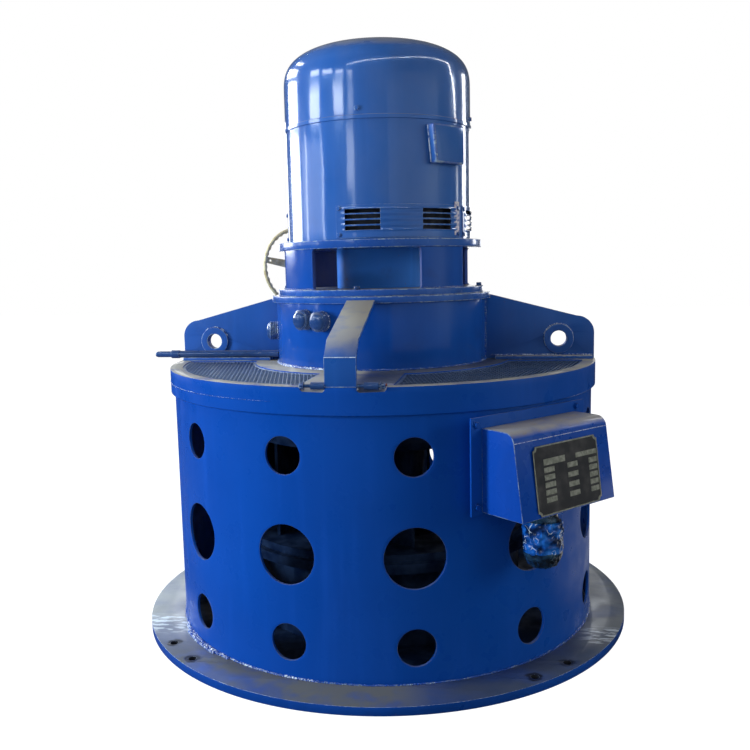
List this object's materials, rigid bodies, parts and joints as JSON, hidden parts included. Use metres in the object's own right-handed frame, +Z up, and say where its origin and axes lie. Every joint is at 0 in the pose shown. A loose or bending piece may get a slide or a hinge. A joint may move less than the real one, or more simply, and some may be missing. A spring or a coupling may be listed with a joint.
{
  "type": "vertical propeller water turbine with generator",
  "caption": "Upright water turbine with a domed generator on a windowed frame, lifting ears, grated deck, perforated inlet drum on a wide base flange, side terminal box and handwheel.",
  "frame": {"origin": "centre of the base flange's underside, on the machine's vertical axis", "axes": "+Z up along the shaft; -Y is the front, where the bent strap comes down; +X towards the right lifting ear"},
  "size_m": [1.6, 1.6, 1.8505],
  "materials": {
    "blue_paint": "glossy cobalt-blue enamel with dust on level faces",
    "dark_blue_paint": "darker blue enamel, semi-gloss",
    "wet_steel": "dull dark cast metal",
    "black_plate": "black plate with bare silvery fields",
    "plastic_film": "crumpled blue film",
    "cream_paint": "worn cream-yellow enamel"
  },
  "bodies": {
    "machine": {"base_flange": "blue_paint", "drum_wall_01": "blue_paint", "drum_wall_02": "blue_paint", "drum_wall_03": "blue_paint", "drum_wall_04": "blue_paint", "drum_wall_05": "blue_paint", "drum_wall_06": "blue_paint", "drum_wall_07": "blue_paint", "drum_wall_08": "blue_paint", "drum_wall_09": "blue_paint", "drum_wall_10": "blue_paint", "drum_wall_11": "blue_paint", "drum_wall_12": "blue_paint", "rim_band": "blue_paint", "deck_plate": "blue_paint", "turbine_housing": "blue_paint", "housing_cover": "blue_paint", "frame_foot_ring": "blue_paint", "bearing_housing": "blue_paint", "frame_post_1": "blue_paint", "frame_post_2": "blue_paint", "frame_post_3": "blue_paint", "frame_post_4": "blue_paint", "frame_top_flange": "blue_paint", "generator_body": "blue_paint", "dome_cover": "blue_paint", "generator_cover_1": "blue_paint", "generator_cover_2": "blue_paint", "generator_cover_3": "blue_paint", "generator_terminal_box": "blue_paint", "lifting_ear_right": "blue_paint", "lifting_ear_left": "blue_paint", "drain_pipe": "blue_paint", "strap": "blue_paint", "strap_pin_left": "blue_paint", "strap_pin_right": "blue_paint", "junction_box_plate": "blue_paint", "junction_box": "blue_paint", "handwheel_gearbox": "blue_paint", "grating_front_right": "dark_blue_paint", "grating_front_left": "dark_blue_paint", "grating_back_left": "dark_blue_paint", "grating_back_right": "dark_blue_paint", "pipe_plug_1": "dark_blue_paint", "pipe_plug_2": "dark_blue_paint", "pipe_plug_3": "dark_blue_paint", "runner_chamber": "wet_steel", "chamber_flange": "wet_steel", "guide_segment_1": "wet_steel", "guide_segment_2": "wet_steel", "guide_segment_3": "wet_steel", "guide_segment_4": "wet_steel", "guide_segment_5": "wet_steel", "guide_segment_6": "wet_steel", "guide_crown": "wet_steel", "inner_head_cover": "wet_steel", "runner_and_shaft": "wet_steel", "nameplate": "black_plate", "cable_outlet": "plastic_film"},
    "handwheel": {"handwheel": "cream_paint"}
  },
  "joints": [
    {"name": "handwheel_turn", "type": "hinge", "parent": "machine", "child": "handwheel", "pos_m": [-0.38975, 0.42683, 1.161], "axis": [-0.6743, 0.7385, 0], "continuous": true}
  ]
}
